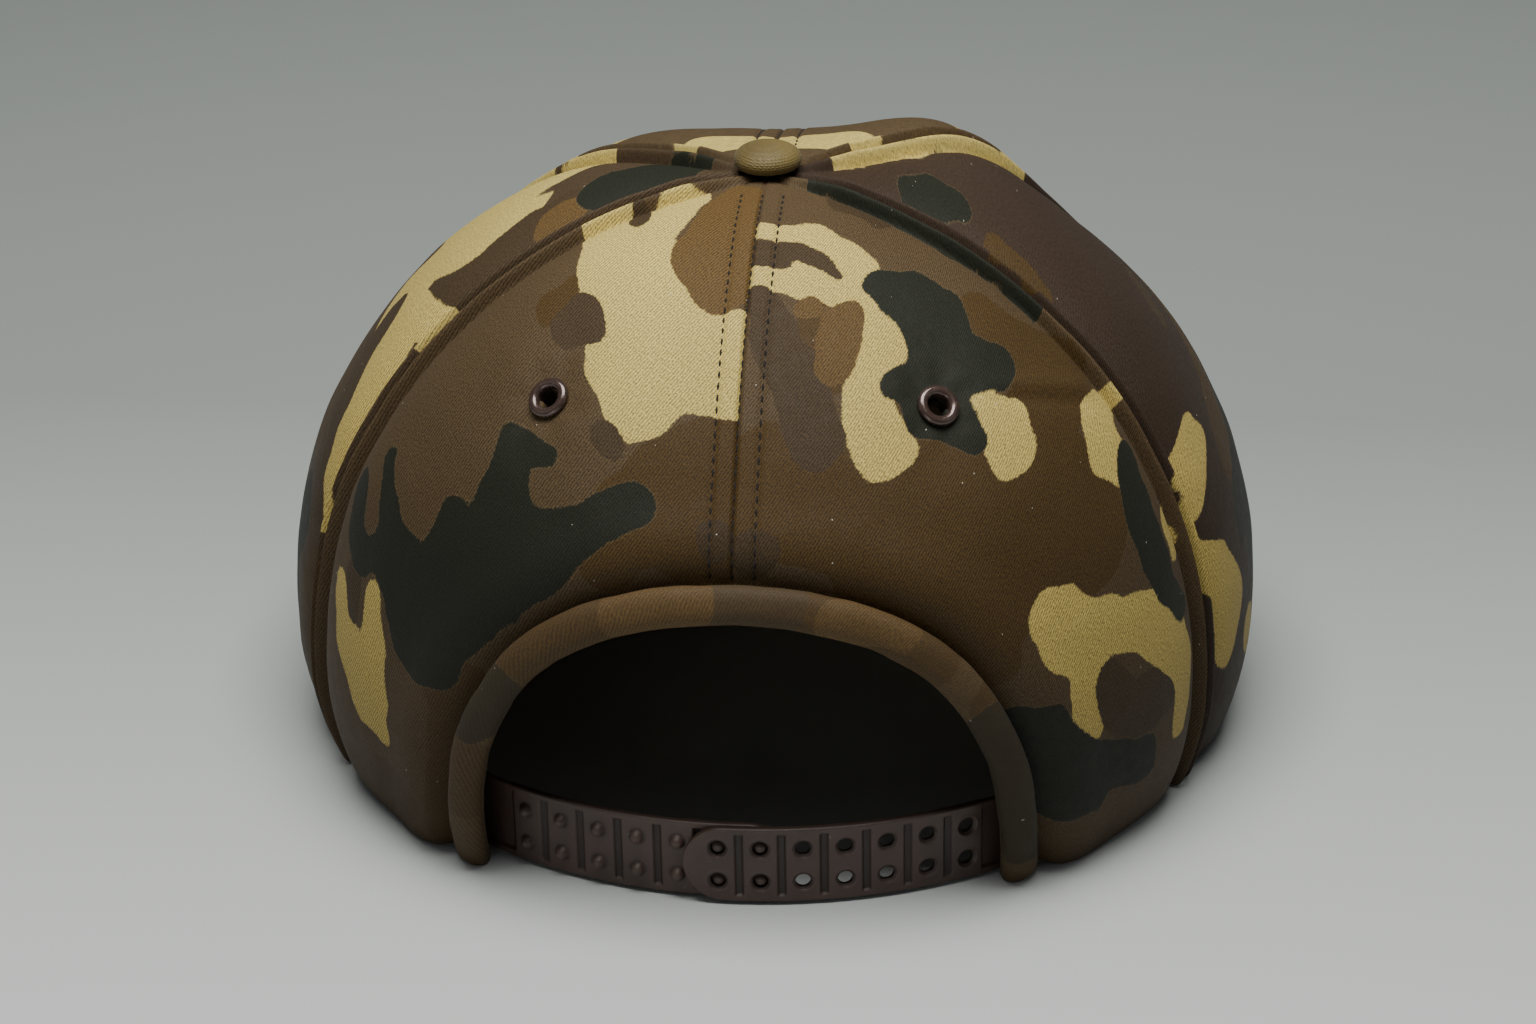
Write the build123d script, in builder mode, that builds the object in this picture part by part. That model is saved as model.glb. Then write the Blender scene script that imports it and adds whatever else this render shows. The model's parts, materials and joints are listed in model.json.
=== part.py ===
"""Six-panel foam snapback cap: crown panels, bound back opening, visor, covered button, eyelets, strap closure."""

import os
from math import cos, pi, radians, sin, sqrt

from build123d import *

os.makedirs("parts", exist_ok=True)

# Frame: millimetres, +Z up, z = 0 is the rim plane, +Y is forward (visor side), +X is the wearer's right.
# Azimuths are degrees from straight back (-Y), positive towards +X.

# Crown
PANEL_T = 3.2
CROWN_R = 107.8
BULGE_Z = 26.0
RIM_R = 101.8
CROWN_TOP = 126.5
DOME_POWER = 2.12
SIDE_BACK_SEAM = 65.0
SIDE_FRONT_SEAM = 122.0
APEX_HOLE_R = 1.6

# Back opening: half outline of the binding's inner edge, from the rim to the top of the arch
ARCH_TOP = 67.0
ARCH_HALF = [(55.0, -2), (54.6, 18), (51.6, 34), (42.5, 50.5), (30, 60.3), (15, 65.5)]
BINDING_W = 7.0
BINDING_PROUD = 1.0

# Visor
VISOR_R = 200.0
VISOR_CREST_Z = 25.6
VISOR_CREST_Y = 52.0
VISOR_FALL = 0.07
BOARD_T = 2.0
COVER_T = 1.0
COVER_MARGIN = 3.0
VISOR_HALF = [(88.9, 49), (89.9, 80), (84.5, 115), (66, 149), (36, 169)]
VISOR_TIP_Y = 176.0
VISOR_INNER_R = 95.3

# Sweatband
SWEAT_R = 94.4
SWEAT_T = 1.2
SWEAT_H = 33.0
SWEAT_END = 36.5

# Snap straps
STRAP_Z = 0.8
STRAP_H = 17.5
PEG_R0 = 94.9
PEG_BASE_T = 1.0
HOLE_R0 = 96.6
HOLE_BASE_T = 1.1
RELIEF = 0.4
RAIL_H = 1.5
ROW_FIRST = -28.35
ROW_STEP = 5.195
ROW_GAP = 7.83
PAD_SHARE = 0.72
PEG_BASE_RAD = 1.2
PEG_TIP_RAD = 0.9
PEG_H = 1.6
HOLE_RAD = 1.6
BORE_RAD = 2.0
BORE_DEPTH = 0.45
HINGE_AZ = 31.5
HINGE_GAP = 0.95
GAP_ANGLE = HINGE_GAP / 96.5 * 57.2958
ROOT_END = 44.0
TONGUE_END = -6.7
PEG_STRAP_END = 6.6

# Button and eyelets
BUTTON_R = 7.3
BUTTON_H = 5.4
EYELET_AZ = 31.4
EYELET_Z = 100.0
EYELET_R = 4.0
EYELET_HOLE_R = 2.35
EYELET_FLANGE_T = 0.8


def half_plane(azimuth):
    """Vertical plane through the crown's axis, local x outward and local y up."""
    a = radians(azimuth)
    return Plane(origin=(0, 0, 0), x_dir=(sin(a), -cos(a), 0), z_dir=(-cos(a), -sin(a), 0))


def radial_plane(azimuth, radius, z, rise=0.0):
    """Plane whose normal points outward at an azimuth, tipped up by rise degrees; local x is horizontal."""
    a, e = radians(azimuth), radians(rise)
    return Plane(
        origin=(radius * sin(a), -radius * cos(a), z),
        x_dir=(cos(a), sin(a), 0),
        z_dir=(cos(e) * sin(a), -cos(e) * cos(a), sin(e)),
    )


def shift_points(points, distance):
    """Points moved along the left-hand normal of the line through them."""
    moved = []
    for i, (x, y) in enumerate(points):
        x0, y0 = points[max(i - 1, 0)]
        x1, y1 = points[min(i + 1, len(points) - 1)]
        length = sqrt((x1 - x0) ** 2 + (y1 - y0) ** 2)
        moved.append((x - distance * (y1 - y0) / length, y + distance * (x1 - x0) / length))
    return moved


def mirrored(half, top):
    """A symmetric outline from its left half's mirror image, through a top point, to its right half."""
    return [(-x, y) for x, y in half] + [(0, top)] + [(x, y) for x, y in reversed(half)]


def profile_point(t):
    """Crown profile: t from -1 to 0 climbs from the rim to the widest point, 0 to 1 from there to the apex."""
    if t < 0:
        return CROWN_R - (CROWN_R - RIM_R) * (-t) ** 2.2, BULGE_Z * (1 + t)
    c, s = cos(t * pi / 2), sin(t * pi / 2)
    return CROWN_R * c ** (2 / DOME_POWER), BULGE_Z + (CROWN_TOP - BULGE_Z) * s ** (2 / DOME_POWER)


def crown_profile(depth):
    """Profile points moved inward by depth, with both ends kept on the rim plane and near the axis."""
    steps = [-1, -0.7, -0.4, -0.15, 0.06, 0.15, 0.25, 0.35, 0.45, 0.54, 0.62, 0.7, 0.78, 0.86, 0.94]
    points = []
    for t in steps:
        (r0, z0), (r, z), (r1, z1) = profile_point(max(t - 0.01, -1)), profile_point(t), profile_point(t + 0.01)
        length = sqrt((r1 - r0) ** 2 + (z1 - z0) ** 2)
        points.append((r - depth * (z1 - z0) / length, z + depth * (r1 - r0) / length))
    points[0] = (points[0][0], 0)
    return points


def crown_wall(start, end, outer=0.0, inner=PANEL_T, inner_r=APEX_HOLE_R):
    """Sector of the crown between two azimuths and two depths below its outer profile."""
    out_pts, in_pts = crown_profile(outer), crown_profile(inner)
    with BuildPart() as wall:
        with BuildSketch(half_plane(start)):
            with BuildLine():
                Spline(*out_pts, (0, CROWN_TOP - outer), tangents=[(0.5, 1), (-1, 0)])
                Line((0, CROWN_TOP - outer), (0, CROWN_TOP - inner))
                Spline((0, CROWN_TOP - inner), *reversed(in_pts), tangents=[(1, 0), (-0.5, -1)])
                Line(in_pts[0], out_pts[0])
            make_face()
            with Locations((inner_r / 2, CROWN_TOP)):
                Rectangle(inner_r, 30, mode=Mode.SUBTRACT)
        revolve(axis=Axis.Z, revolution_arc=end - start)
    return wall.part


def arch_prism(grow):
    """The back opening's outline, grown outward, as a prism through the back of the crown."""
    points = shift_points(mirrored(ARCH_HALF, ARCH_TOP), grow)
    with BuildPart() as prism:
        with BuildSketch(Plane.XZ.offset(40)):
            with BuildLine():
                Spline(*points)
                Line(points[-1], points[0])
            make_face()
        extrude(amount=100)
    return prism.part


def under_visor(height, y0=-20.0, length=220.0):
    """Everything under the visor's curved surface raised by height."""
    top = VISOR_CREST_Z + height + (VISOR_CREST_Y - y0) * VISOR_FALL
    with BuildPart() as below:
        with BuildSketch(Plane.XZ.offset(-y0)):
            with Locations((0, top - VISOR_R)):
                Circle(VISOR_R)
            with Locations((0, top - 50)):
                Rectangle(240, 100, mode=Mode.INTERSECT)
        extrude(amount=length, dir=(0, 1, -VISOR_FALL))
    return below.part


def visor_seat(height):
    """The space under the visor's surface at the front, easing in ahead of the temples."""
    with BuildPart() as seat:
        add(under_visor(height))
        with BuildSketch(Plane.YZ.offset(-130)):
            Polygon((20, -6), (20, 0), (170, 52.5), (170, -6), align=None)
        extrude(amount=260, mode=Mode.INTERSECT)
    return seat.part


def visor_sheet(low, high, inset):
    """Curved sheet between two heights of the visor's surface, trimmed to its outline."""
    points = shift_points(mirrored(VISOR_HALF, VISOR_TIP_Y), -inset)
    with BuildPart() as sheet:
        with BuildSketch(Plane.XY.offset(-5)):
            with BuildLine():
                Spline(*points)
                Line(points[-1], points[0])
            make_face()
            Circle(VISOR_INNER_R + inset, mode=Mode.SUBTRACT)
        extrude(amount=50)
        add(under_visor(high), mode=Mode.INTERSECT)
        add(under_visor(low), mode=Mode.SUBTRACT)
    return sheet.part


def strap_band(r0, r1, z0, z1, start, end):
    """Curved band between two radii, heights and azimuths."""
    with BuildPart() as band:
        with BuildSketch(half_plane(start)):
            with Locations(((r0 + r1) / 2, (z0 + z1) / 2)):
                Rectangle(r1 - r0, z1 - z0)
        revolve(axis=Axis.Z, revolution_arc=end - start)
    return band.part


def strap_body(r0, thickness, start, end, rows):
    """Strap with rails along both edges and a pad at each row."""
    r1, r2, top = r0 + thickness, r0 + thickness + RELIEF, STRAP_Z + STRAP_H
    half = ROW_STEP * PAD_SHARE / 2
    with BuildPart() as strap:
        add(strap_band(r0, r1, STRAP_Z, top, start, end))
        add(strap_band(r1 - 0.1, r2, STRAP_Z, STRAP_Z + RAIL_H, start, end))
        add(strap_band(r1 - 0.1, r2, top - RAIL_H, top, start, end))
        for row in rows:
            mid = row_azimuth(row)
            add(strap_band(r1 - 0.1, r2, STRAP_Z + RAIL_H - 0.1, top - RAIL_H + 0.1, mid - half, mid + half))
    return strap.part


def round_end(azimuth, radius, side):
    """Cutter that leaves a full round at a strap's free end; side is +1 where the strap runs to +azimuth."""
    r = STRAP_H / 2
    with BuildPart() as cutter:
        with BuildSketch(radial_plane(azimuth, radius - 6, STRAP_Z + r)):
            with Locations((side * (r - 4) / 2, 0)):
                Rectangle(r + 4, STRAP_H + 4)
            with Locations((side * r, 0)):
                Circle(r, mode=Mode.SUBTRACT)
        extrude(amount=12)
    return cutter.part


def row_azimuth(row):
    return ROW_FIRST + ROW_STEP * row


def row_planes(rows, radius):
    """Outward planes at the upper and lower points of each row."""
    mid = STRAP_Z + STRAP_H / 2
    return [radial_plane(row_azimuth(row), radius, mid + s * ROW_GAP / 2) for row in rows for s in (-1, 1)]


def save(builder, name):
    builder.part.label = name
    export_step(builder.part, f"parts/{name}.step")


# Crown panels
panel_spans = {
    "back_left_panel": (-SIDE_BACK_SEAM, 0),
    "back_right_panel": (0, SIDE_BACK_SEAM),
    "side_right_panel": (SIDE_BACK_SEAM, SIDE_FRONT_SEAM),
    "side_left_panel": (-SIDE_FRONT_SEAM, -SIDE_BACK_SEAM),
    "front_right_panel": (SIDE_FRONT_SEAM, 180),
    "front_left_panel": (180, 360 - SIDE_FRONT_SEAM),
}
eyelet_r = 76.4
eyelet_rise = 46.0
eyelet_planes = {
    "left": radial_plane(-EYELET_AZ, eyelet_r, EYELET_Z, eyelet_rise),
    "right": radial_plane(EYELET_AZ, eyelet_r, EYELET_Z, eyelet_rise),
}
for name, (start, end) in panel_spans.items():
    with BuildPart() as panel:
        add(crown_wall(start, end))
        if name.startswith("back"):
            add(arch_prism(BINDING_W), mode=Mode.SUBTRACT)
            with Locations(Location(eyelet_planes["left" if "left" in name else "right"])):
                Cylinder(EYELET_HOLE_R + 0.75, 20, mode=Mode.SUBTRACT)
        else:
            add(visor_seat(BOARD_T / 2 + COVER_T + 0.1), mode=Mode.SUBTRACT)
    save(panel, name)

# Binding round the back opening
with BuildPart() as opening_binding:
    add(crown_wall(-50, 50, outer=-BINDING_PROUD))
    add(arch_prism(BINDING_W - 0.02), mode=Mode.INTERSECT)
    add(arch_prism(0), mode=Mode.SUBTRACT)
save(opening_binding, "opening_binding")

# Seam tapes on the inside
tapes = {"back": (0, ARCH_TOP + BINDING_W + 1), "front": (180, 50),
         "back_right": (SIDE_BACK_SEAM, 36), "back_left": (-SIDE_BACK_SEAM, 36),
         "front_right": (SIDE_FRONT_SEAM, 36), "front_left": (-SIDE_FRONT_SEAM, 36)}
for name, (azimuth, floor) in tapes.items():
    with BuildPart() as tape:
        add(crown_wall(azimuth - 40, azimuth + 40, outer=PANEL_T + 0.15, inner=PANEL_T + 0.75, inner_r=13))
        with BuildSketch(half_plane(azimuth)):
            with Locations((70, (floor + 130) / 2)):
                Rectangle(114, 130 - floor)
        extrude(amount=6, both=True, mode=Mode.INTERSECT)
    save(tape, f"seam_tape_{name}")

# Sweatband: upright band with a flange sewn to the rim
with BuildPart() as sweat_flange:
    add(strap_band(SWEAT_R - 0.1, 98.2, 0.3, 1.3, ROOT_END + 1, 359 - ROOT_END))
    add(visor_seat(BOARD_T / 2 + COVER_T + 0.3), mode=Mode.SUBTRACT)

with BuildPart() as sweat_height:
    add(under_visor(SWEAT_H - 2, y0=0, length=140))
    Box(260, 260, 2 * SWEAT_H)

with BuildPart() as sweatband:
    add(strap_band(SWEAT_R - SWEAT_T, SWEAT_R, 0.3, SWEAT_H + 28, SWEAT_END, 360 - SWEAT_END))
    add(sweat_height.part, mode=Mode.INTERSECT)
    add(visor_seat(-BOARD_T / 2 - COVER_T - 0.5), mode=Mode.SUBTRACT)
    add(sweat_flange.part)
save(sweatband, "sweatband")

# Visor: stiff board inside two covers that meet beyond its edge
with BuildPart() as visor_board:
    add(visor_sheet(-BOARD_T / 2, BOARD_T / 2, COVER_MARGIN))
save(visor_board, "visor_board")

for name, low, high in (("visor_top_cover", 0.02, BOARD_T / 2 + COVER_T),
                        ("visor_under_cover", -BOARD_T / 2 - COVER_T, -0.02)):
    with BuildPart() as cover:
        add(visor_sheet(low, high, 0))
        add(visor_sheet(-BOARD_T / 2 - 0.03, BOARD_T / 2 + 0.03, COVER_MARGIN - 0.05), mode=Mode.SUBTRACT)
    save(cover, name)

# Button on the apex: domed core, cloth cover, rivet post and inner washer
def button_dome(inset, base, lip):
    """Flat-bottomed dome on the crown's axis, shrunk by inset, with its lip turned in under it."""
    r, top = BUTTON_R - inset, CROWN_TOP + BUTTON_H - inset
    with BuildPart() as dome:
        with BuildSketch(Plane.XZ):
            with BuildLine():
                Polyline((0, top), (0, CROWN_TOP + base), (r - lip, CROWN_TOP + base), (r, CROWN_TOP + 1.6))
                Spline((r, CROWN_TOP + 1.6), (r * 0.93, CROWN_TOP + 1.6 + (top - CROWN_TOP - 1.6) * 0.42),
                       (r * 0.62, CROWN_TOP + 1.6 + (top - CROWN_TOP - 1.6) * 0.83), (0, top),
                       tangents=[(0, 1), (-1, 0)])
            make_face()
        revolve(axis=Axis.Z)
    return dome.part


with BuildPart() as button_core:
    add(button_dome(0.65, 0.7, 0.5))
    with BuildSketch(Plane.XY.offset(CROWN_TOP + 2.2)):
        Circle(1.25)
    extrude(amount=-3, mode=Mode.SUBTRACT)
save(button_core, "button_core")

with BuildPart() as button_cover:
    add(button_dome(0, 0.1, 0.6))
    add(button_dome(0.6, 0.65, 0.5), mode=Mode.SUBTRACT)
    with BuildSketch(Plane.XY.offset(CROWN_TOP - 1)):
        Circle(1.45)
    extrude(amount=2.5, mode=Mode.SUBTRACT)
save(button_cover, "button_cover")

washer_top = CROWN_TOP - PANEL_T - 0.15
with BuildPart() as button_rivet:
    with BuildSketch(Plane.XY.offset(washer_top - 1.2)):
        Circle(1.2)
    extrude(amount=CROWN_TOP + 2.1 - washer_top + 1.2)
    with BuildSketch(Plane.XY.offset(washer_top - 1.5)):
        Circle(2.4)
    extrude(amount=0.6)
save(button_rivet, "button_rivet")

with BuildPart() as button_washer:
    with BuildSketch(Plane.XY.offset(washer_top - 0.85)):
        Circle(7.0)
        Circle(1.45, mode=Mode.SUBTRACT)
    extrude(amount=0.7)
save(button_washer, "button_washer")

# Eyelets: rolled flange and barrel outside, washer inside
for side, plane in eyelet_planes.items():
    with BuildPart() as eyelet:
        with Locations(Location(plane)):
            with Locations((0, 0, 0.3)):
                Cylinder(EYELET_R, EYELET_FLANGE_T, align=(Align.CENTER, Align.CENTER, Align.MIN))
                Cylinder(EYELET_HOLE_R + 0.5, PANEL_T + 2.2, align=(Align.CENTER, Align.CENTER, Align.MAX))
            Cylinder(EYELET_HOLE_R, 20, mode=Mode.SUBTRACT)
    save(eyelet, f"eyelet_{side}")
    with BuildPart() as washer:
        with Locations(Location(plane)):
            with Locations((0, 0, -PANEL_T - 0.7)):
                Cylinder(EYELET_R + 0.4, 0.5, align=(Align.CENTER, Align.CENTER, Align.MAX))
            Cylinder(EYELET_HOLE_R + 0.6, 20, mode=Mode.SUBTRACT)
    save(washer, f"eyelet_washer_{side}")

# Peg strap on the wearer's left, sewn root and free part
peg_rows, hole_rows = range(0, 7), range(5, 12)
with BuildPart() as peg_strap:
    add(strap_body(PEG_R0, PEG_BASE_T, -HINGE_AZ + GAP_ANGLE, PEG_STRAP_END, peg_rows))
    add(round_end(PEG_STRAP_END, PEG_R0, -1), mode=Mode.SUBTRACT)
    for plane in row_planes(peg_rows, PEG_R0 + PEG_BASE_T + RELIEF - 0.1):
        with Locations(Location(plane)):
            Cone(PEG_BASE_RAD, PEG_TIP_RAD, PEG_H + 0.1, align=(Align.CENTER, Align.CENTER, Align.MIN))
save(peg_strap, "peg_strap")

with BuildPart() as peg_strap_root:
    add(strap_band(PEG_R0, PEG_R0 + PEG_BASE_T + RELIEF, STRAP_Z, STRAP_Z + STRAP_H,
                   -ROOT_END, -HINGE_AZ - GAP_ANGLE))
save(peg_strap_root, "peg_strap_root")

# Hole strap on the wearer's right, overlapping outside
with BuildPart() as hole_strap:
    add(strap_body(HOLE_R0, HOLE_BASE_T, TONGUE_END, HINGE_AZ - GAP_ANGLE, hole_rows))
    add(round_end(TONGUE_END, HOLE_R0, 1), mode=Mode.SUBTRACT)
    for plane in row_planes(hole_rows, HOLE_R0 + HOLE_BASE_T + RELIEF):
        with Locations(Location(plane)):
            Cylinder(HOLE_RAD, 8, mode=Mode.SUBTRACT)
            Cylinder(BORE_RAD, 2 * BORE_DEPTH, mode=Mode.SUBTRACT)
save(hole_strap, "hole_strap")

with BuildPart() as hole_strap_root:
    add(strap_band(HOLE_R0, HOLE_R0 + HOLE_BASE_T + RELIEF, STRAP_Z, STRAP_Z + STRAP_H,
                   HINGE_AZ + GAP_ANGLE, ROOT_END))
save(hole_strap_root, "hole_strap_root")
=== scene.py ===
"""Looks for the six-panel foam snapback cap. Metres in Blender; shape code works in millimetres."""

import json
from math import acos, atan2, cos, degrees, hypot, pi, radians, sin

import bmesh
import bpy
import numpy as np
from mathutils import Matrix, Vector, noise


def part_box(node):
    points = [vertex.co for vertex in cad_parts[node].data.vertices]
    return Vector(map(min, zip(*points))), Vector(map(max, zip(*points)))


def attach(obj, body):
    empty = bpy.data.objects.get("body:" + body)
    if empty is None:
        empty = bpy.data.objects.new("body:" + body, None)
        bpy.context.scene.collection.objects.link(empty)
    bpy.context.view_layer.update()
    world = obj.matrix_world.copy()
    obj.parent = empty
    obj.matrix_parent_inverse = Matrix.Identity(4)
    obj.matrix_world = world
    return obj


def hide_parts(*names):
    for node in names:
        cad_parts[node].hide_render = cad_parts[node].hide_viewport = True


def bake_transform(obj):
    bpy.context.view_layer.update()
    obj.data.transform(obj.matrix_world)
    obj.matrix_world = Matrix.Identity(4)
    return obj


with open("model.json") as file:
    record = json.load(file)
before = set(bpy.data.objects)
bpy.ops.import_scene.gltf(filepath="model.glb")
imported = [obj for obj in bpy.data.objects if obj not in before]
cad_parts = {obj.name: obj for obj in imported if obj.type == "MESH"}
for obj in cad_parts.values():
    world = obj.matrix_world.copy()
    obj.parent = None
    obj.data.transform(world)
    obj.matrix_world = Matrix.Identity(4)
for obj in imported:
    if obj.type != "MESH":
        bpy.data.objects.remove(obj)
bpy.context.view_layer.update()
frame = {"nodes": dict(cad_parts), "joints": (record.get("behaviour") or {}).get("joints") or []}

MM = 0.001


def span(node):
    """A CAD node's lowest and highest corners in mm, to the nearest 0.1."""
    return [[round(c / MM, 1) for c in corner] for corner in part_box(node)]


# Driving sizes from the frame
CROWN_R, _, CROWN_TOP = span("side_right_panel")[1]
VISOR_TIP_Y = span("visor_top_cover")[1][1]
STRAP_Z = span("hole_strap")[0][2]
STRAP_H = round(span("hole_strap")[1][2] - STRAP_Z, 1)
hinge_at = next(j for j in frame["joints"] if j["name"] == "hole_strap_bend")["pos_m"]
HINGE_AZ = round(degrees(atan2(hinge_at[0], -hinge_at[1])), 1)
# The rest repeat the CAD's sizes
BULGE_Z, RIM_R, DOME_POWER = 26.0, 101.8, 2.12
PANEL_T = 3.2
SIDE_BACK, SIDE_FRONT = 65.0, 122.0
ARCH_TOP = 67.0
ARCH_HALF = [(55.0, -2), (54.6, 18), (51.6, 34), (42.5, 50.5), (30, 60.3), (15, 65.5)]
BINDING_W = 7.0
VISOR_R, VISOR_CREST_Z, VISOR_CREST_Y, VISOR_FALL = 200.0, 25.6, 52.0, 0.07
VISOR_HALF = [(88.9, 49), (89.9, 80), (84.5, 115), (66, 149), (36, 169)]
EYELET_AZ, EYELET_Z, EYELET_RISE, EYELET_R0 = 31.4, 100.0, 46.0, 76.4
HINGE_GAP, HINGE_R = 0.95, 96.5
# Each strap's inner radius, thickness in the grooves and full thickness
PEG_STRAP, HOLE_STRAP = (94.9, 0.62, 1.4), (96.6, 0.72, 1.5)
PEG_R, PEG_RISE, HOLE_R, SINK_R, RAIL_W = 1.55, 1.7, 1.62, 2.12, 1.55
VISOR_HALF_T, VISOR_GROOVE = 2.15, 0.28


# ---- shape helpers


def catmull(points, per):
    """Smooth line through points, per steps between each two."""
    pts = np.array(points, float)
    ext = np.vstack([2 * pts[0] - pts[1], pts, 2 * pts[-1] - pts[-2]])
    out = []
    for i in range(1, len(ext) - 2):
        p0, p1, p2, p3 = ext[i - 1], ext[i], ext[i + 1], ext[i + 2]
        for k in range(per):
            t = k / per
            out.append(0.5 * (2 * p1 + (p2 - p0) * t + (2 * p0 - 5 * p1 + 4 * p2 - p3) * t * t
                              + (3 * p1 - p0 - 3 * p2 + p3) * t ** 3))
    out.append(ext[-2])
    return np.array(out)


def mirrored(half, top):
    return [(-x, y) for x, y in half] + [(0, top)] + [(x, y) for x, y in reversed(half)]


def profile_table():
    """Radius, height, arc length and outward normal along the crown's profile, from the rim to the apex."""
    t = np.linspace(-1, 1, 3001)
    c, s = np.cos(np.clip(t, 0, 1) * pi / 2), np.sin(np.clip(t, 0, 1) * pi / 2)
    dome_r = CROWN_R * np.clip(c, 0, 1) ** (2 / DOME_POWER)
    dome_z = BULGE_Z + (CROWN_TOP - BULGE_Z) * np.clip(s, 0, 1) ** (2 / DOME_POWER)
    r = np.where(t < 0, CROWN_R - (CROWN_R - RIM_R) * np.abs(t) ** 2.2, dome_r)
    z = np.where(t < 0, BULGE_Z * (1 + t), dome_z)
    step = np.hypot(np.diff(r), np.diff(z))
    length = np.concatenate([[0], np.cumsum(step)])
    even = np.linspace(0, length[-1], 800)
    r, z = np.interp(even, length, r), np.interp(even, length, z)
    dr, dz = np.gradient(r, even), np.gradient(z, even)
    norm = np.hypot(dr, dz)
    return r, z, even, dz / norm, -dr / norm


PROF_R, PROF_Z, PROF_S, PROF_NR, PROF_NZ = profile_table()
S_TOP = PROF_S[-1]


def at_s(s):
    """Profile radius, height and normal at arc length s above the rim."""
    return [np.interp(s, PROF_S, v) for v in (PROF_R, PROF_Z, PROF_NR, PROF_NZ)]


def s_of_z(z):
    return np.interp(z, PROF_Z, PROF_S)


def on_crown(az, s, h):
    """Points at azimuth az (radians from straight back), arc length s and height h above the crown's surface."""
    r, z, nr, nz = at_s(s)
    rr = r + h * nr
    return np.stack([rr * np.sin(az), -rr * np.cos(az), z + h * nz], -1)


def visor_z(x, y):
    """Middle surface of the visor."""
    sag = VISOR_R - np.sqrt(np.maximum(VISOR_R ** 2 - x ** 2, 0))
    return VISOR_CREST_Z - (y - VISOR_CREST_Y) * VISOR_FALL - sag


ARCH_LINE = catmull(mirrored(ARCH_HALF, ARCH_TOP), 14)


def arch_distance(x, z):
    """Signed distance from the back opening's edge, positive outside it."""
    pts = np.stack([x.ravel(), z.ravel()], -1)
    best = np.full(len(pts), 1e9)
    for a, b in zip(ARCH_LINE[:-1], ARCH_LINE[1:]):
        ab = b - a
        t = np.clip(((pts - a) @ ab) / (ab @ ab), 0, 1)
        best = np.minimum(best, np.hypot(*(pts - a - t[:, None] * ab).T))
    top = np.interp(pts[:, 0], ARCH_LINE[:, 0], ARCH_LINE[:, 1], left=-99, right=-99)
    return np.where(pts[:, 1] < top, -best, best).reshape(x.shape)


def noise_field(points, size, seed, octaves=2):
    """Smooth noise between about -1 and 1, with features about size across."""
    shift = Vector((seed * 13.7, seed * 7.3, seed * 3.1))
    flat = points.reshape(-1, points.shape[-1])
    out = np.empty(len(flat))
    for i, p in enumerate(flat):
        v = Vector((p[0], p[1], p[2] if len(p) > 2 else 0.0)) / size + shift
        out[i] = noise.fractal(v, 0.9, 2.0, octaves)
    return out.reshape(points.shape[:-1])


def mesh_object(name, verts, faces, smooth=True):
    mesh = bpy.data.meshes.new(name)
    points = [tuple(v) for v in np.asarray(verts) * MM]
    mesh.from_pydata(points, [], [tuple(int(i) for i in f) for f in faces])
    mesh.validate()
    work = bmesh.new()
    work.from_mesh(mesh)
    bmesh.ops.recalc_face_normals(work, faces=work.faces)
    work.to_mesh(mesh)
    work.free()
    mesh.polygons.foreach_set("use_smooth", [smooth] * len(mesh.polygons))
    obj = bpy.data.objects.new(name, mesh)
    bpy.context.scene.collection.objects.link(obj)
    return obj


def set_attribute(obj, name, values, kind="FLOAT"):
    layer = obj.data.attributes.new(name, kind, "POINT")
    field = "value" if kind == "FLOAT" else "vector"
    layer.data.foreach_set(field, np.asarray(values, np.float32).ravel())


def grid_faces(rows, cols, wrap=False):
    out = []
    for i in range(rows - 1):
        for j in range(cols if wrap else cols - 1):
            k = (j + 1) % cols
            out.append((i * cols + j, i * cols + k, (i + 1) * cols + k, (i + 1) * cols + j))
    return out


def thick_sheet(outer, inner, faces):
    """Closed sheet from matching outer and inner points: faces on both sides and a wall along every open edge."""
    n = len(outer)
    edges = {}
    for f in faces:
        for a, b in zip(f, f[1:] + f[:1]):
            edges[(a, b)] = True
    walls = [(b, a, a + n, b + n) for a, b in edges if (b, a) not in edges]
    back = [tuple(v + n for v in reversed(f)) for f in faces]
    used = np.zeros(2 * n, bool)
    every = [*faces, *back, *walls]
    for f in every:
        used[list(f)] = True
    index = np.cumsum(used) - 1
    points = np.vstack([outer, inner])[used]
    every = [tuple(index[v] for v in f) for f in every]
    return points, every, used, len(faces), len(back)


# ---- camouflage


def chain(points, x, y):
    """Depth inside a run of tapered rounds: points are (x, y, radius) in mm."""
    best = np.full(x.shape, -1e9)
    runs = list(zip(points, points[1:])) or [(points[0], points[0])]
    for (x0, y0, r0), (x1, y1, r1) in runs:
        dx, dy = x1 - x0, y1 - y0
        length = max(dx * dx + dy * dy, 1e-6)
        t = np.clip(((x - x0) * dx + (y - y0) * dy) / length, 0, 1)
        best = np.maximum(best, r0 + (r1 - r0) * t - np.hypot(x - x0 - t * dx, y - y0 - t * dy))
    return best


def patches(shapes, x, y):
    """Rounded union of several runs."""
    total = np.zeros(x.shape)
    for points in shapes:
        total += np.exp(np.clip(chain(points, x, y), -30, 30) / 1.3)
    return np.log(total + 1e-12) * 1.3


LAYERS = ("olive", "cream", "brown", "tan", "green")

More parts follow.
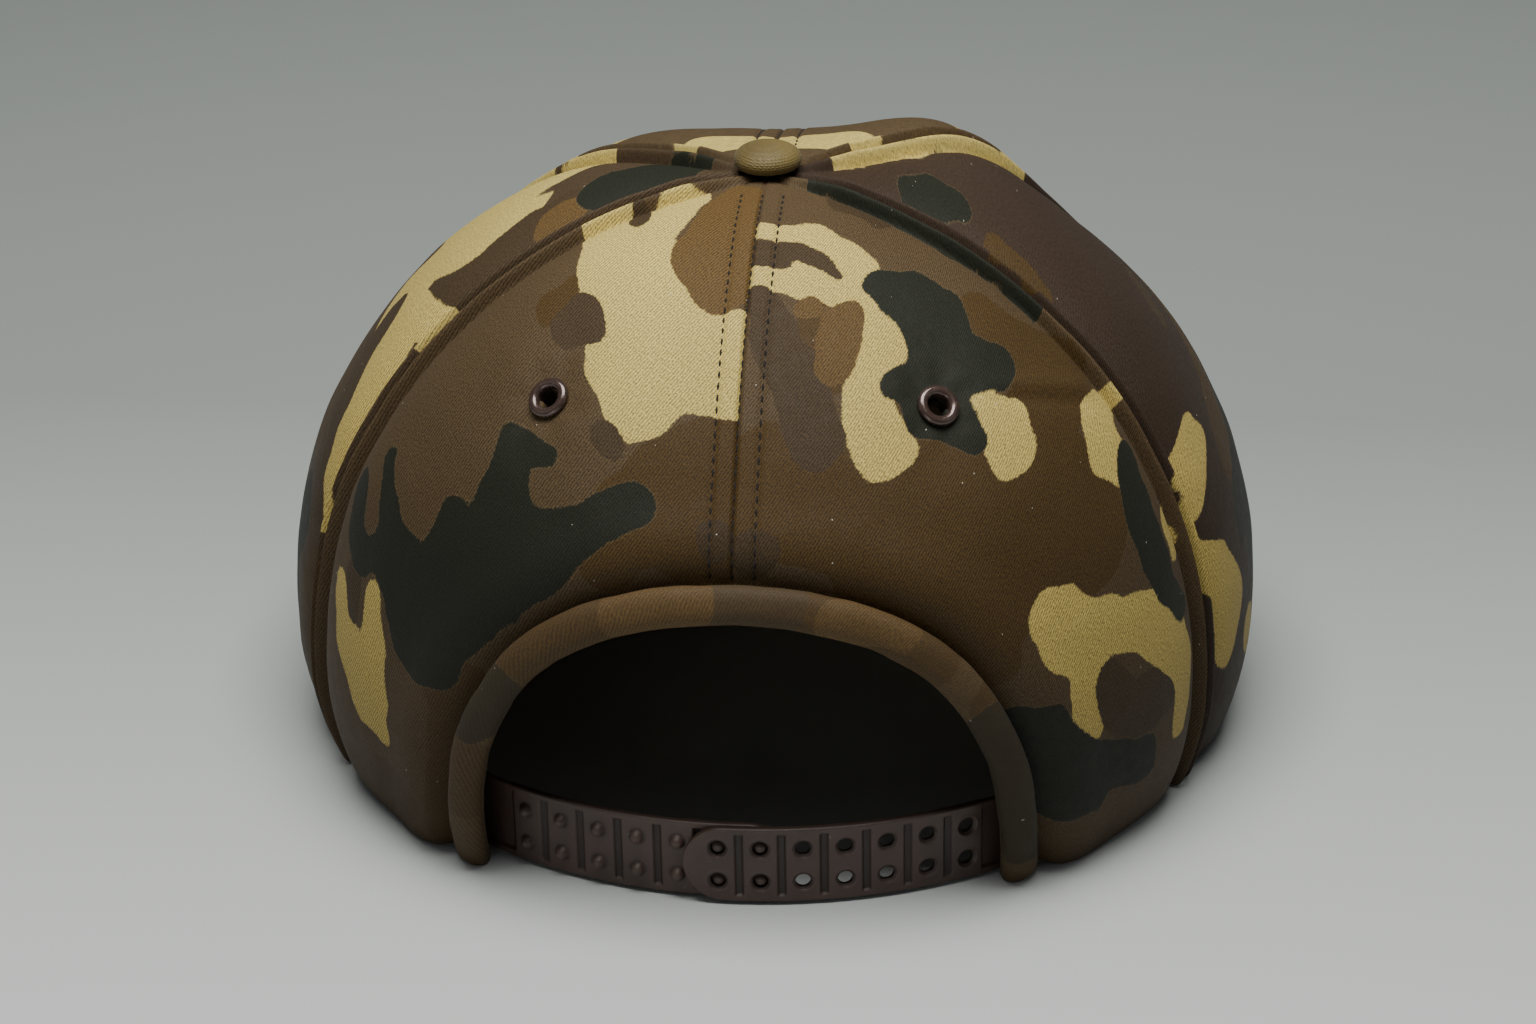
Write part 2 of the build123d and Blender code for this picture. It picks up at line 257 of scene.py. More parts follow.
# Rounds as (distance round from straight back, arc length above the rim, radius) in mm
CAMO = {
    "back_left": {
        "olive": [[(-2, 100, 13), (-10, 94, 14), (-19, 90, 10), (-25, 80, 7)], [(-6, 84, 10)],
            [(-46, 128, 4), (-41, 135, 3)], [(-62, 46, 8), (-60, 28, 9), (-64, 10, 9)], [(-53, 62, 4)],
            [(-84, 12, 9)]],
        "cream": [[(-42, 150, 5), (-38, 158, 4)], [(-33, 143, 9.5), (-26, 134, 10), (-22, 122, 12.5), (-21, 115, 9.5)],
            [(-29, 150, 10), (-22, 143, 12)], [(-24, 160, 6), (-18, 169, 4.5), (-14, 174, 3)],
            [(-10, 125, 12.5), (-2, 124.5, 12.5)], [(-104, 54, 3), (-100, 44, 6), (-92, 34, 7), (-86, 27, 3)],
            [(-88, 56, 3), (-88, 46, 5), (-88, 36, 5)]],
        "brown": [[(-35.5, 129, 5.2), (-40, 125, 4)], [(-27, 104.5, 4.2)], [(-97, 58, 4), (-97, 50, 2.8)],
            [(-30.5, 160, 3.4)], [(-3, 86, 4)]],
        "tan": [[(-4, 178, 5), (-5, 165, 8.5), (-8, 152, 10.5), (-6, 143.5, 7.5)]],
        "green": [[(-49, 98, 5), (-50, 90, 6), (-52, 80, 7), (-56, 70, 8)], [(-40, 98, 2.6), (-44, 99, 3)],
            [(-20.5, 91.5, 5), (-29, 86, 5), (-37, 82, 6.5), (-41, 76, 6)],
            [(-48, 72, 7), (-58, 64, 9), (-70, 56, 12), (-78, 64, 9)], [(-63, 80, 4), (-64, 72, 7)],
            [(-87, 84, 2.2), (-85, 76, 3.6), (-84, 66, 6)],
            [(-99, 75, 3), (-98, 67, 4), (-94, 63, 5)], [(-45, 82, 5)]],
    },
    "back_right": {
        "olive": [[(8, 96, 14), (34, 92, 18), (58, 86, 18), (78, 78, 14)], [(20, 124, 8), (16, 134, 6)], [(30, 116, 4),
            (31, 108, 4)], [(34, 78, 14), (60, 74, 14)],
            [(50, 128, 4), (60, 119, 6), (70, 112, 7), (80, 104, 7)],
            [(66, 100, 10)], [(46, 60, 8), (54, 56, 6)]],
        "cream": [[(0, 163, 3), (8, 161, 3.5), (14, 156, 4.5), (20, 149, 5), (23, 144, 5)],
            [(-2, 148, 4.5), (8, 147, 5), (18, 144, 6), (25, 138, 5)],
            [(28, 132, 6.5), (30, 126, 6), (27, 117, 5.5), (27, 109, 5.5), (31, 102, 5.5)],
            [(53, 110, 3), (51, 105, 4), (57, 102, 6), (60, 96, 5.5)], [(84, 97, 5), (86, 90, 6), (90, 86, 4)],
            [(93, 97, 3)], [(67, 62, 5), (72, 58, 8), (77, 51, 6), (78, 42, 5), (80, 37, 2.5)],
            [(74, 58, 7), (86, 54, 5.5), (97, 52, 7), (104, 46, 7), (110, 38, 5), (110, 30, 4), (109, 23, 2.5)],
            [(107, 70, 2.5), (109, 63, 2.5)]],
        "brown": [[(0, 157, 1.6), (9, 155.5, 2.2), (14, 151.5, 2.2), (19, 145, 0.8)], [(-1, 152, 1.4), (6, 151, 1.6)],
            [(2, 141, 4), (7, 130, 5), (12, 117, 6), (17, 106, 5.5)], [(84, 44, 3.5), (87, 38, 5)], [(97, 37, 5),
            (102, 33, 4), (92, 31, 7)], [(4, 84, 5)], [(20, 172, 5), (32, 162, 5)]],
        "tan": [[(20, 133, 5), (19, 123, 5)], [(12, 138, 3)]],
        "green": [[(27, 142, 3), (35, 137, 6.5), (42, 128, 7), (43, 119, 8), (50, 116, 6), (57, 113, 4.5)],
            [(33, 116, 4)],
            [(40, 109, 6), (48, 103, 4), (51, 100, 3)], [(93, 84, 4), (96, 76, 5), (99, 66, 5), (104, 57, 4),
            (110, 50, 3)], [(60, 42, 3), (66, 36, 8), (74, 28, 9), (84, 25, 6), (95, 22, 5)],
            [(72, 22, 6), (80, 18, 3)]],
    },
    "side_left": {
        "olive": [[(-150, 80, 16)], [(-130, 30, 12), (-124, 46, 7)]],
        "cream": [[(-121, 62, 4), (-120, 80, 7), (-112, 98, 9), (-105, 112, 9), (-96, 121, 8), (-86, 131, 6.5),
            (-76, 140, 4)],
            [(-92, 110, 5), (-84, 116, 4), (-75, 122, 3), (-68, 128, 2)],
            [(-128, 100, 7), (-122, 114, 9), (-112, 126, 9), (-100, 137, 8), (-88, 147, 6)],
            [(-165, 40, 12), (-175, 60, 9)],
            [(-140, 118, 9), (-128, 128, 6)]],
        "brown": [[(-104, 112, 1), (-83, 122, 5), (-74, 132, 6.5), (-62, 145, 6), (-52, 156, 5)], [(-130, 60, 5),
            (-130, 76, 6), (-126, 90, 6), (-120, 102, 4)]],
        "tan": [[(-66, 142, 3), (-56, 150, 3)]],
        "green": [[(-60, 153, 4), (-50, 160, 6), (-40, 167, 6), (-28, 176, 4)],
            [(-140, 55, 8), (-150, 45, 8), (-146, 30, 7)]],
    },
    "side_right": {
        "olive": [[(64, 138, 3), (74, 129, 3), (80, 123, 2)], [(160, 80, 12), (165, 95, 10)], [(170, 30, 14)]],
        "cream": [[(116, 75, 4), (124, 79, 5),
            (128, 76, 4), (123, 68, 4)], [(117, 68, 3), (118, 58, 4), (128, 50, 7), (134, 42, 8), (132, 32, 5)],
            [(150, 28, 6)]],
        "brown": [[(140, 100, 6)]],
        "tan": [[(150, 60, 5)]],
        "green": [[(44, 160, 4), (52, 156, 5), (60, 150, 4)], [(160, 42, 7), (166, 56, 5)]],
    },
}

# Cream on the front panels, near enough to the top to be seen from behind
FRONT_LUMPS = [[(50, 173, 5), (60, 171, 6), (72, 166, 4)],
               [(120, 140, 4), (136, 131, 6), (144, 121, 5), (148, 110, 3)]]


def random_shapes(rng, count, box, size):
    """Wandering runs of rounds inside a box."""
    shapes = []
    for _ in range(count):
        x, y = rng.uniform(box[0], box[1]), rng.uniform(box[2], box[3])
        angle, run = rng.uniform(0, 2 * pi), []
        for _ in range(rng.integers(3, 6)):
            run.append((x, y, size * rng.uniform(0.45, 1.15)))
            angle += rng.uniform(-1.2, 1.2)
            x, y = x + cos(angle) * size * 1.5, y + sin(angle) * size * 1.2
        shapes.append(run)
    return shapes


def random_camo(seed, box, scale=1.0):
    """Woodland patches where nothing sets their places."""
    rng = np.random.default_rng(seed)
    area = (box[1] - box[0]) * (box[3] - box[2]) / scale ** 2
    counts = {"olive": area / 1500, "cream": area / 2300, "brown": area / 4000, "tan": area / 6000,
              "green": area / 2100}
    sizes = {"olive": 12, "cream": 9, "brown": 6, "tan": 5, "green": 8}
    return {k: random_shapes(rng, max(int(counts[k] + 0.5), 1), box, sizes[k] * scale) for k in LAYERS}


def camo_fields(obj, p, q, shapes, seed, panel_shade=0.0, lift=0.0, flat=None):
    """Writes each colour layer's depth in mm, the share of painted shade on the base colour, and the cloth's flat
    coordinates on the piece.

    flat, where given, is the distance along the real puffed surface, so the weave isn't stretched at the seams.
    """
    pts = np.stack([p, q], -1)
    wx = 1.6 * noise_field(pts, 13, seed) + 0.7 * noise_field(pts, 5, seed + 3, 1)
    wy = 1.6 * noise_field(pts, 13, seed + 1) + 0.7 * noise_field(pts, 5, seed + 4, 1)
    for layer in LAYERS:
        set_attribute(obj, layer, np.clip(patches(shapes[layer], p + wx, q + wy), -6, 6))
    set_attribute(obj, "panel_shade", np.full(p.shape, panel_shade))
    across = p if flat is None else flat
    cloth = np.stack([across * MM, (q + lift) * MM, np.full(p.shape, seed * 0.37)], -1)
    set_attribute(obj, "cloth", cloth, "FLOAT_VECTOR")


# ---- materials


class Nodes:
    """Short way to build a material's node tree."""

    def __init__(self, name):
        self.mat = bpy.data.materials.new(name)
        self.mat.use_nodes = True
        self.tree = self.mat.node_tree
        self.bsdf = self.tree.nodes["Principled BSDF"]

    def add(self, kind, inputs=None, **props):
        node = self.tree.nodes.new(kind)
        for key, value in props.items():
            setattr(node, key, value)
        for key, value in (inputs or {}).items():
            self.put(node.inputs[key], value)
        return node

    def put(self, socket, value):
        if isinstance(value, bpy.types.NodeSocket):
            self.tree.links.new(value, socket)
        elif isinstance(value, bpy.types.Node):
            self.tree.links.new(value.outputs[0], socket)
        else:
            socket.default_value = value

    def math(self, op, a, b=0.0, c=0.0, clamp=False):
        node = self.add("ShaderNodeMath", {0: a, 1: b, 2: c}, operation=op)
        node.use_clamp = clamp
        return node.outputs[0]

    def mix(self, fac, a, b, blend="MIX"):
        node = self.add("ShaderNodeMix", data_type="RGBA", blend_type=blend)
        self.put(node.inputs[0], fac)
        self.put(node.inputs[6], a)
        self.put(node.inputs[7], b)
        return node.outputs[2]

    def noise(self, vector, scale, detail=2.0, rough=0.5):
        inputs = {"Vector": vector, "Scale": scale, "Detail": detail, "Roughness": rough}
        return self.add("ShaderNodeTexNoise", inputs).outputs[0]

    def attr(self, name, out="Fac"):
        return self.add("ShaderNodeAttribute", attribute_name=name).outputs[out]

    def ramp(self, fac, low, high):
        return self.add("ShaderNodeMapRange", {"Value": fac, "From Min": low, "From Max": high}).outputs[0]

    def shade(self, color, rough, metal=0.0, **sockets):
        self.put(self.bsdf.inputs["Base Color"], color)
        self.put(self.bsdf.inputs["Roughness"], rough)
        self.bsdf.inputs["Metallic"].default_value = metal
        for key, value in sockets.items():
            self.put(self.bsdf.inputs[key.replace("_", " ")], value)

    def bump(self, height, distance, strength=1.0, base=None):
        node = self.add("ShaderNodeBump", {"Height": height, "Distance": distance, "Strength": strength})
        if base is not None:
            self.put(node.inputs["Normal"], base)
        return node.outputs[0]


def srgb(r, g, b):
    out = []
    for c in (r, g, b):
        c /= 255
        out.append(c / 12.92 if c <= 0.04045 else ((c + 0.055) / 1.055) ** 2.4)
    return (*out, 1.0)


INK = {
    "base": srgb(92, 76, 51), "olive": srgb(80, 61, 27), "cream": srgb(212, 194, 116), "brown": srgb(72, 58, 38),
    "tan": srgb(102, 80, 43), "green": srgb(33, 37, 25),
}


def weave(n, coord, pitch_mm=0.62):
    """Diagonal satin weave height, broken into short floats by finer noise, and how raised each spot is."""
    turned = n.add("ShaderNodeMapping", {"Vector": coord, "Rotation": (0, 0, radians(33))}).outputs[0]
    lines = n.add("ShaderNodeTexWave", {"Vector": turned, "Scale": 0.314 / (pitch_mm * MM), "Distortion": 1.6,
                                        "Detail": 1.0, "Detail Scale": 2.6}, bands_direction="X").outputs[1]
    floats = n.add("ShaderNodeMapping", {"Vector": turned, "Scale": (1.0, 0.6, 1.0)}).outputs[0]
    grain = n.noise(floats, 3000, 2, 0.7)
    both = n.math("ADD", n.math("MULTIPLY", lines, 0.22), n.math("MULTIPLY", grain, 0.98))
    return both, n.math("MULTIPLY", both, 0.83)


def lint(n, coord, color, scale=360, share=0.15, size=0.06):
    """Sparse pale dust specks on the cloth."""
    cell = n.add("ShaderNodeTexVoronoi", {"Vector": coord, "Scale": scale, "Randomness": 1.0}, feature="F1")
    keep = n.math("LESS_THAN", n.add("ShaderNodeSeparateColor", {0: cell.outputs["Color"]}).outputs[0], share)
    near = n.math("LESS_THAN", cell.outputs["Distance"], size)
    return n.mix(n.math("MULTIPLY", n.math("MULTIPLY", keep, near), 0.75), color, srgb(190, 186, 172))


def camo_material(name, fade=0.0):
    """Printed satin: colour layers from the piece's attributes, weave with painted highlight and shade, painted shade
    on the base colour, dust, and painted shade darkening the cloth near the rim.
    """
    n = Nodes(name)
    coord = n.attr("cloth", "Vector")
    height, grain = weave(n, coord)
    ragged = n.math("MULTIPLY", n.math("SUBTRACT", n.noise(coord, 1300, 1), 0.5), 0.9)
    # Painted shade: the base colour darkens by the panel_shade share, most on the side panels.
    color = n.mix(n.attr("panel_shade"), INK["base"], srgb(58, 44, 35))
    for layer in LAYERS:
        depth = n.math("ADD", n.attr(layer), ragged)
        if layer in ("cream", "green"):
            halo = n.ramp(n.math("ADD", depth, 0.35), 0.0, 0.25)
            color = n.mix(n.math("MULTIPLY", halo, 0.35), color, srgb(120, 106, 78))
        fac = n.ramp(depth, -0.16, 0.16)
        color = n.mix(fac, color, INK[layer])
    broad = n.ramp(n.noise(coord, 26, 3, 0.55), 0.3, 0.75)
    color = n.mix(n.math("MULTIPLY", broad, 0.22), color, n.mix(1.0, color, srgb(196, 186, 170), "MULTIPLY"))
    # Painted highlight and shade on the weave: raised spots get a lighter copy of the colour, low spots a darker copy.
    weave_highlight = n.ramp(grain, 0.38, 0.62)
    dark = n.mix(1.0, color, (0.46, 0.43, 0.40, 1), "MULTIPLY")
    color = n.mix(weave_highlight, dark, n.mix(1.0, color, (1.34, 1.30, 1.20, 1), "MULTIPLY"))
    if fade:
        color = n.mix(fade, color, srgb(110, 92, 68))
    # Painted shade: the cloth darkens towards the rim, where its arc length above the rim is low.
    low = n.ramp(n.add("ShaderNodeSeparateXYZ", {0: coord}).outputs[1], 0.15, 0.025)
    color = n.mix(n.math("MULTIPLY", low, 0.8), color, n.mix(1.0, color, (0.42, 0.38, 0.30, 1), "MULTIPLY"))
    color = lint(n, coord, color)
    folds = n.noise(coord, 140, 2, 0.5)
    normal = n.bump(folds, 0.0006, 0.35)
    normal = n.bump(height, 0.00014, 0.8, normal)
    rough = n.ramp(n.noise(coord, 420, 2), -0.4, 1.6)
    rough = n.math("MULTIPLY_ADD", rough, 0.35, 0.52)
    n.shade(color, rough)
    n.put(n.bsdf.inputs["Normal"], normal)
    n.bsdf.inputs["Sheen Weight"].default_value = 0.03
    n.bsdf.inputs["Sheen Roughness"].default_value = 0.45
    n.bsdf.inputs["Specular IOR Level"].default_value = 0.24
    return n.mat


def cloth_material(name, color, weave_mm=0.6, second=None, sheen=0.15, gloss=0.7):
    """Plain dyed cloth by object coordinates, for tapes, lining, sweatband and threads."""
    n = Nodes(name)
    coord = n.add("ShaderNodeTexCoord").outputs["Object"]
    scale = 0.314 / (weave_mm * MM)
    a = n.add("ShaderNodeTexWave", {"Vector": coord, "Scale": scale, "Distortion": 1.0, "Detail": 1.0},
              bands_direction="Z").outputs[1]
    b = n.add("ShaderNodeTexWave", {"Vector": coord, "Scale": scale, "Distortion": 1.0, "Detail": 1.0},
              bands_direction="DIAGONAL").outputs[1]
    grain = n.noise(coord, 1700, 3, 0.6)
    height = n.math("ADD", n.math("MULTIPLY", n.math("MULTIPLY", a, b), 0.7), grain)
    second = second or tuple(0.7 * c for c in color[:3]) + (1.0,)
    tone = n.mix(n.ramp(n.noise(coord, 60, 3), 0.3, 0.7), color, second)
    tone = n.mix(n.math("MULTIPLY", grain, 0.5), tone, n.mix(1.0, tone, srgb(150, 150, 150), "MULTIPLY"))
    n.shade(tone, n.math("MULTIPLY_ADD", grain, 0.25, gloss))
    n.put(n.bsdf.inputs["Normal"], n.bump(height, 0.0002, 0.7))
    n.bsdf.inputs["Sheen Weight"].default_value = sheen
    return n.mat


def plastic_material(name, color):
    """Moulded strap plastic: satin, faintly mottled, with painted shade in the recesses, sparse dust specks and fine
    scuffs.
    """
    n = Nodes(name)
    coord = n.add("ShaderNodeTexCoord").outputs["Object"]
    broad = n.ramp(n.noise(coord, 90, 3), 0.3, 0.7)
    tone = n.mix(broad, color, tuple(c * 1.35 for c in color[:3]) + (1.0,))
    streaked = n.add("ShaderNodeMapping", {"Vector": coord, "Scale": (1, 1, 7)}).outputs[0]
    scuff = n.ramp(n.noise(streaked, 800, 2, 0.7), 0.62, 0.75)
    tone = n.mix(n.math("MULTIPLY", scuff, 0.25), tone, srgb(120, 108, 102))
    # Painted shade: darker where the recess_shade attribute marks grooves and the rings round the pegs.
    tone = n.mix(n.math("MULTIPLY", n.attr("recess_shade"), 0.8), tone, tuple(c * 0.3 for c in color[:3]) + (1.0,))
    tone = lint(n, coord, tone, 520, 0.12, 0.05)
    n.shade(tone, n.math("MULTIPLY_ADD", n.noise(coord, 350, 3), 0.22, 0.40))
    height = n.math("ADD", n.math("MULTIPLY", n.noise(coord, 2600, 2), 0.5), n.noise(coord, 300, 2))
    n.put(n.bsdf.inputs["Normal"], n.bump(height, 0.00012, 0.5))
    return n.mat


def metal_material(name, color, metal, rough, worn=None):
    n = Nodes(name)
    coord = n.add("ShaderNodeTexCoord").outputs["Object"]
    wear = n.ramp(n.noise(coord, 900, 4, 0.65), 0.58, 0.7)
    tone = n.mix(n.ramp(n.noise(coord, 200, 2), 0.3, 0.7), color, tuple(c * 0.75 for c in color[:3]) + (1.0,))
    tone = n.mix(n.math("MULTIPLY", wear, 0.5), tone, worn or color)
    n.shade(tone, n.math("MULTIPLY_ADD", n.noise(coord, 700, 2), 0.18, rough), metal)
    n.put(n.bsdf.inputs["Normal"], n.bump(n.noise(coord, 1500, 2), 0.00005, 0.4))
    n.bsdf.inputs["Coat Weight"].default_value = 0.5
    n.bsdf.inputs["Coat Roughness"].default_value = 0.08
    return n.mat


CLOTH = camo_material("camo_cloth")
BINDING_CLOTH = camo_material("camo_binding", 0.25)
LINING = cloth_material("knit_lining", srgb(158, 138, 100), 0.8, srgb(140, 120, 86))
TAPE = cloth_material("seam_tape", srgb(76, 66, 50), 0.7, srgb(64, 56, 44))
SWEAT = cloth_material("sweatband_twill", srgb(122, 100, 62), 0.7, srgb(106, 86, 54))
THREAD = cloth_material("thread", srgb(30, 24, 19), 0.25, srgb(24, 19, 15), 0.0, 0.75)
BUTTON_CLOTH = cloth_material("button_satin", srgb(126, 108, 52), 0.5, srgb(98, 82, 38), 0.1, 0.45)
PLASTIC = plastic_material("strap_plastic", srgb(62, 47, 41))
ENAMEL = metal_material("eyelet_enamel", srgb(84, 66, 60), 0.45, 0.14, srgb(140, 124, 110))
BRIGHT = metal_material("bright_metal", srgb(190, 190, 188), 1.0, 0.25, srgb(150, 150, 148))
BOARD = plastic_material("visor_board", srgb(196, 192, 184))


def finish_piece(obj, materials, body="cap", nodes=()):
    """Gives a piece its materials and body, and the CAD nodes that it stands for."""
    for m in materials:
        obj.data.materials.append(m)
    if body:
        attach(obj, body)
    if nodes:
        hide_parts(*nodes)
    return obj


# ---- crown panels

PANELS = {
    "back_left": (-SIDE_BACK, 0, "deep", "flat"),
    "back_right": (0, SIDE_BACK, "flat", "deep"),
    "side_right": (SIDE_BACK, SIDE_FRONT, "deep", "deep"),
    "side_left": (-SIDE_FRONT, -SIDE_BACK, "deep", "deep"),
    "front_right": (SIDE_FRONT, 180, "deep", "flat"),
    "front_left": (180, 360 - SIDE_FRONT, "flat", "deep"),
}
# Distance from each kind of seam to its stitch row
STITCH_D = {"deep": 3.8, "flat": 4.6}
S_END = S_TOP - 4.5
# Padding heights over the CAD surface: at a seam, its rise, the rise near the button, and the deepest groove
PUFF_LOW, PUFF_RISE, PUFF_TOP, DEEPEST = -1.9, 2.7, 0.8, -2.3
# The front stands prouder here: azimuth and height
FRONT_BUMPS, BUMP_S = ((radians(130), 7.6), (radians(-132), 2.4)), 145
EYELET_HOLE_R = 2.7


def seam_shape(kind, d):
    """Surface height beside a seam at distance d from it, and how far the padding has risen."""
    past = np.maximum(d - STITCH_D[kind], 0)
    if kind == "deep":
        edge = (2.5 * np.exp(-((d - 1.9) / 1.05) ** 2) - 1.0 * np.exp(-(d / 0.6) ** 2)
                - 1.5 * np.exp(-((d - STITCH_D[kind]) / 0.65) ** 2))
        rise = 1 - np.exp(-(past / 5.5) ** 1.1)
    else:
        edge = -0.8 * np.exp(-(d / 0.45) ** 2) - 0.5 * np.exp(-((d - STITCH_D[kind]) / 0.6) ** 2)
        rise = 1 - 0.36 * np.exp(-(past / 22.0) ** 1.5)
    return edge, rise


def panel_height(name, az, s):
    """Height of the puffed panel above the crown's surface."""
    a0, a1, k0, k1 = PANELS[name]
    r, z, _, _ = at_s(s)
    fade = np.clip(r / 26.0, 0.12, 1.0)
    d0, d1 = np.abs(az - radians(a0)) * r, np.abs(radians(a1) - az) * r
    e0, p0 = seam_shape(k0, d0)
    e1, p1 = seam_shape(k1, d1)
    h = (PUFF_LOW + (e0 + e1) * np.clip(r / 20.0, 0.25, 1.0)
         + PUFF_RISE * p0 * p1 * fade + PUFF_TOP * (1 - fade))
    x, y = r * np.sin(az), -r * np.cos(az)
    pts = np.stack([x, y, z], -1)
    turn = np.where(az > pi, az - 2 * pi, az)
    for centre, rise in FRONT_BUMPS:
        h = h + rise * np.exp(-((s - BUMP_S) / 22.0) ** 2 - ((turn - centre) / 0.44) ** 2)
    h = h + 0.45 * noise_field(pts, 34, 5) * fade + 0.16 * noise_field(pts, 9, 8, 1) * fade
    if name.startswith("back"):
        side = -1 if name == "back_left" else 1
        ea = radians(EYELET_AZ) * side
        es = s_of_z(EYELET_Z)
        dx, dy = (az - ea) * r, s - es
        rho, theta = np.hypot(dx, dy), np.arctan2(dy, dx)
        seat = np.exp(-(np.maximum(rho - 4.0, 0) / 4.6) ** 2)
        h = h * (1 - seat) - 0.15 * seat
        h = h + 0.24 * np.cos(7 * theta + 2.0 * side) * np.exp(-((rho - 8.0) / 2.6) ** 2)
        h = h + 0.5 * np.cos(2 * theta + 0.4) * np.exp(-((rho - 11.0) / 6.0) ** 2)
        gap = arch_distance(x, z) - BINDING_W
        near = np.where(y < 0, gap, 99)
        h = h - 3.2 * np.exp(-(np.maximum(near, 0) / 2.6) ** 2) + 1.1 * np.exp(-((near - 8.0) / 5.0) ** 2)
        if side > 0:
            p = az * r
            line = 107.5 - 0.33 * (p - 59)
            along = np.clip((p - 54) / 8, 0, 1) * np.clip((88 - p) / 8, 0, 1)
            fold = 0.75 * np.exp(-((s - line - 2.6) / 2.2) ** 2) - 0.8 * np.exp(-((s - line) / 1.3) ** 2)
            h = h + along * fold
    return np.where(h < DEEPEST, DEEPEST - 0.5 * np.tanh((DEEPEST - h) / 0.5), h)


def panel_columns(a0, a1):
    """Azimuths across a panel, closer together beside the seams."""
    width = radians(a1 - a0) * CROWN_R
    edge = np.concatenate([np.arange(0, 5.4, 0.4), [5.9, 6.5, 7.2, 8.1, 9.2, 10.6]])
    middle = np.linspace(12, width - 12, int((width - 24) / 1.5))
    d = np.concatenate([edge, middle, width - edge[::-1]])
    return radians(a0) + d / CROWN_R


def bottom_s(az):
    """Arc length at a panel's lower edge: the rim, or the visor's top surface at the front."""
    s = np.linspace(0, 70, 281)
    r, z, _, _ = at_s(s)
    out = []
    for a in az:
        x, y = r * sin(a), -r * cos(a)
        seat = np.where(y > 20, np.minimum(visor_z(x, y) + 2.15, (y - 20) * 0.35), -1)
        above = np.nonzero(z > seat)[0]
        out.append(s[above[0]] if len(above) else 0.0)
    return np.array(out)


def seam_streak(azimuth, inset, radius, heights):
    """Run of rounds along a panel's right seam, for colour on the seam's ridge."""
    return [(radians(azimuth) * float(at_s(k)[0]) - inset, k, radius) for k in heights]


def build_panel(name, seed):
    """One puffed panel: printed cloth outside, knit lining inside, rolled at the lower edge."""
    a0, a1, _, _ = PANELS[name]
    az = panel_columns(a0, a1)
    low = bottom_s(az)
    rows = 118
    v = np.linspace(0, 1, rows) ** 0.98
    v = np.concatenate([[0, 0.003, 0.007, 0.012], v[2:]])
    rows = len(v)
    s = low[None, :] + (S_END - low[None, :]) * v[:, None]
    a = np.repeat(az[None, :], rows, 0)
    h = panel_height(name, a, s)
    up = s - low[None, :]
    hem = np.clip(1 - up / 2.2, 0, 1)
    roll = 1 - np.sqrt(1 - hem ** 2)
    outer = on_crown(a, s, h - 1.5 * roll)
    across = np.cumsum(np.linalg.norm(np.diff(outer, axis=1, prepend=outer[:, :1]), axis=2), axis=1)
    half = len(az) // 2
    across += (a * at_s(s)[0] - across)[:, half:half + 1]
    inner = on_crown(a, s, -PANEL_T + 1.5 * roll)
    outer, inner = outer.reshape(-1, 3), inner.reshape(-1, 3)
    outer[:, 2], inner[:, 2] = np.maximum(outer[:, 2], 0.0), np.maximum(inner[:, 2], 0.05)
    faces = grid_faces(rows, len(az))
    if name.startswith("back"):
        x, z = on_crown(a, s, 0)[..., 0].ravel(), on_crown(a, s, 0)[..., 2].ravel()
        inside = arch_distance(x, z) < BINDING_W * 0.45
        faces = [f for f in faces if not all(inside[i] for i in f)]
        eye = s_of_z(EYELET_Z)
        ea = radians(EYELET_AZ) * (-1 if name == "back_left" else 1)
        rho = np.hypot((a - ea) * at_s(s)[0], s - eye).ravel()
        faces = [f for f in faces if np.mean(rho[list(f)]) > EYELET_HOLE_R]
    points, every, used, n_out, n_in = thick_sheet(outer, inner, faces)
    obj = mesh_object(name + "_cloth", points, every)
    index = np.zeros(len(every), int)
    index[n_out:n_out + n_in] = 1
    obj.data.polygons.foreach_set("material_index", index)
    r = at_s(s)[0]
    shown = np.where(a > pi, a - 2 * pi, a) if name == "front_left" else a
    p, q = np.concatenate([(shown * r).ravel()] * 2)[used], np.concatenate([s.ravel()] * 2)[used]
    shapes = CAMO.get(name)
    if name.startswith("side"):
        sign = 1 if a0 > 0 else -1
        box = sorted((186 * sign, 226 * sign))
        more = random_camo(seed + 60, (*box, 0, 120))
        shapes = {k: shapes[k] + more[k] for k in LAYERS}
        if name == "side_right":
            shapes["cream"].append(seam_streak(a1, 1.9, 1.0, (178, 168, 158, 148, 138, 128)))
    elif name == "back_right":
        ridge = seam_streak(a1, 2.0, 1.7, (180, 170, 160, 150, 140, 130, 122))
        shapes = {**shapes, "green": shapes["green"] + [ridge]}
    if shapes is None:
        box = (a0 * 1.7, a1 * 1.7, 10, 185) if a0 < 180 else (-180 * 1.7, -SIDE_FRONT * 1.7, 10, 185)
        shapes = random_camo(seed, box)
        side = 1 if name == "front_right" else -1
        shapes["cream"] += [[(side * x, y, w) for x, y, w in run] for run in FRONT_LUMPS]
    # Painted shade on the base colour: strongest on the right side panel, then the left, slight elsewhere.
    camo_fields(obj, p, q, shapes, seed, {"side_right": 0.9, "side_left": 0.5}.get(name, 0.15),
                flat=np.concatenate([across.ravel()] * 2)[used])
    finish_piece(obj, [CLOTH, LINING], nodes=[name + "_panel"])


for k, panel in enumerate(PANELS):
    build_panel(panel, k + 1)


# ---- stitches


